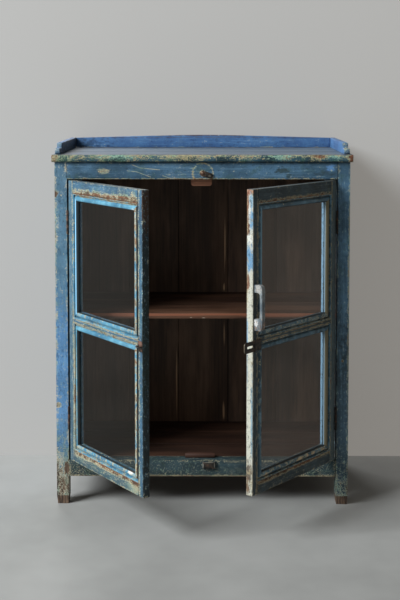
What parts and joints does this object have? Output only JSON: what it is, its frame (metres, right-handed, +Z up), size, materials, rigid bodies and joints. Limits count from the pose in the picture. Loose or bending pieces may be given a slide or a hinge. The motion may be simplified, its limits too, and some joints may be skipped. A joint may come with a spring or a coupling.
{
  "type": "display cabinet",
  "caption": "Painted wooden display cabinet on square legs with glazed double doors on butt hinges, hasp and staple, turn button, inner shelf and low gallery top.",
  "frame": {"origin": "on the floor, at the middle of the box around the cabinet with its doors open as stored", "axes": "+Z up, +Y to the back of the cabinet, +X to the right as seen from the front"},
  "size_m": [0.916, 0.7674, 1.1281],
  "materials": {
    "blue_wood": "worn matte blue paint over cream and bare wood",
    "cobalt_wood": "matte cobalt blue paint",
    "brown_wood": "bare aged wood",
    "glass": "clear old window glass",
    "dark_iron": "rusted dark iron",
    "worn_metal": "worn pale metal with paint remains"
  },
  "bodies": {
    "carcass": {"front_top_rail": "blue_wood", "front_bottom_rail": "blue_wood", "back_top_rail": "brown_wood", "back_bottom_rail": "brown_wood", "left_side_top_rail": "blue_wood", "right_side_top_rail": "blue_wood", "left_side_bottom_rail": "blue_wood", "right_side_bottom_rail": "blue_wood", "left_side_boards": "blue_wood", "right_side_boards": "blue_wood", "back_boards": "brown_wood", "floor_boards": "brown_wood", "shelf_boards": "brown_wood", "shelf_cleats": "brown_wood", "floor_cleats": "brown_wood", "top_boards": "blue_wood", "gallery_left": "cobalt_wood", "gallery_right": "cobalt_wood", "gallery_back": "cobalt_wood", "top_door_stop": "brown_wood", "bottom_door_stop": "brown_wood", "turn_button_screw": "dark_iron", "bolt_keeper": "dark_iron", "front_left_post": "blue_wood", "front_right_post": "blue_wood", "back_left_post": "blue_wood", "back_right_post": "blue_wood", "post_hinge_leaves": "dark_iron", "hinge_pins": "dark_iron", "post_hinge_screws": "dark_iron"},
    "left_door": {"left_door_hinge_stile": "blue_wood", "left_door_lock_stile": "blue_wood", "left_door_top_rail": "blue_wood", "left_door_middle_rail": "blue_wood", "left_door_bottom_rail": "blue_wood", "left_door_upper_pane": "glass", "left_door_lower_pane": "glass", "left_door_upper_moulding": "blue_wood", "left_door_lower_moulding": "blue_wood", "left_door_hinge_leaves": "dark_iron", "left_door_hinge_screws": "dark_iron", "left_door_staple": "dark_iron"},
    "right_door": {"right_door_hinge_stile": "blue_wood", "right_door_lock_stile": "blue_wood", "right_door_top_rail": "blue_wood", "right_door_middle_rail": "blue_wood", "right_door_bottom_rail": "blue_wood", "right_door_upper_pane": "glass", "right_door_lower_pane": "glass", "right_door_upper_moulding": "blue_wood", "right_door_lower_moulding": "blue_wood", "right_door_hinge_leaves": "dark_iron", "right_door_hinge_screws": "dark_iron", "right_door_pull_handle": "worn_metal", "right_door_handle_screws": "dark_iron", "right_door_hasp_leaf": "dark_iron", "right_door_hasp_pin": "dark_iron", "right_door_hasp_screws": "dark_iron"},
    "hasp": {"hasp_strap": "dark_iron"},
    "turn_button": {"turn_button": "dark_iron"}
  },
  "joints": [
    {"name": "left_door_swing", "type": "hinge", "parent": "carcass", "child": "left_door", "pos_m": [-0.4108, -0.03971, 0], "axis": [0, 0, -1], "range_deg": [-53.1, 116.9]},
    {"name": "right_door_swing", "type": "hinge", "parent": "carcass", "child": "right_door", "pos_m": [0.4108, -0.03971, 0], "axis": [0, 0, 1], "range_deg": [-49.5, 120.5]},
    {"name": "hasp_swing", "type": "hinge", "parent": "right_door", "child": "hasp", "pos_m": [0.14823, -0.34714, 0.569], "axis": [0, 0, 1], "range_deg": [0, 170]},
    {"name": "turn_button_swing", "type": "hinge", "parent": "carcass", "child": "turn_button", "pos_m": [0.002, -0.04081, 1.0275], "axis": [0, 1, 0], "continuous": true}
  ]
}
